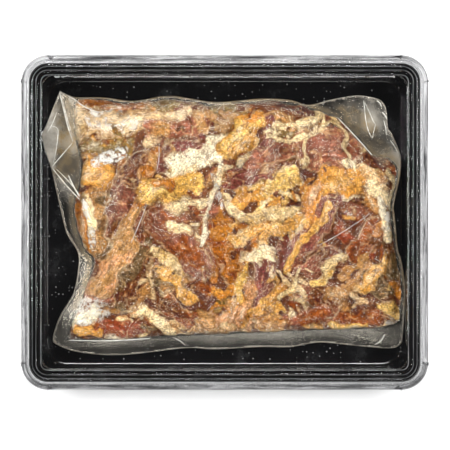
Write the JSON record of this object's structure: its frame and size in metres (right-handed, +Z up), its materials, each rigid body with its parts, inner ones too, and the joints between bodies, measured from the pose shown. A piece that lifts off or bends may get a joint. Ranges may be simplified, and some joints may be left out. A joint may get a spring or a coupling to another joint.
{
  "type": "tray pack of raw marinated pork skirt",
  "caption": "Shut food pack: a shallow black tray with a clear lid pressed over its rim, holding a sealed clear bag of raw marinated pork skirt strips.",
  "frame": {"origin": "on the surface the pack stands on, under the middle of the tray", "axes": "+Z up, +X along the tray's long side with the bag's seal strip on the -Y side"},
  "size_m": [0.2814, 0.2314, 0.034],
  "materials": {
    "black_plastic": "thermoformed black sheet, glossy, with fine vertical drawing lines in the walls",
    "clear_plastic": "clear thin sheet or film, glossy, with bright folds",
    "bagged_meat": "wet marinated raw pork: mauve-brown lean, cream and orange fat, fine pepper specks"
  },
  "bodies": {
    "root": {"tray": "black_plastic", "lid": "clear_plastic", "bag": "bagged_meat"}
  },
  "joints": []
}
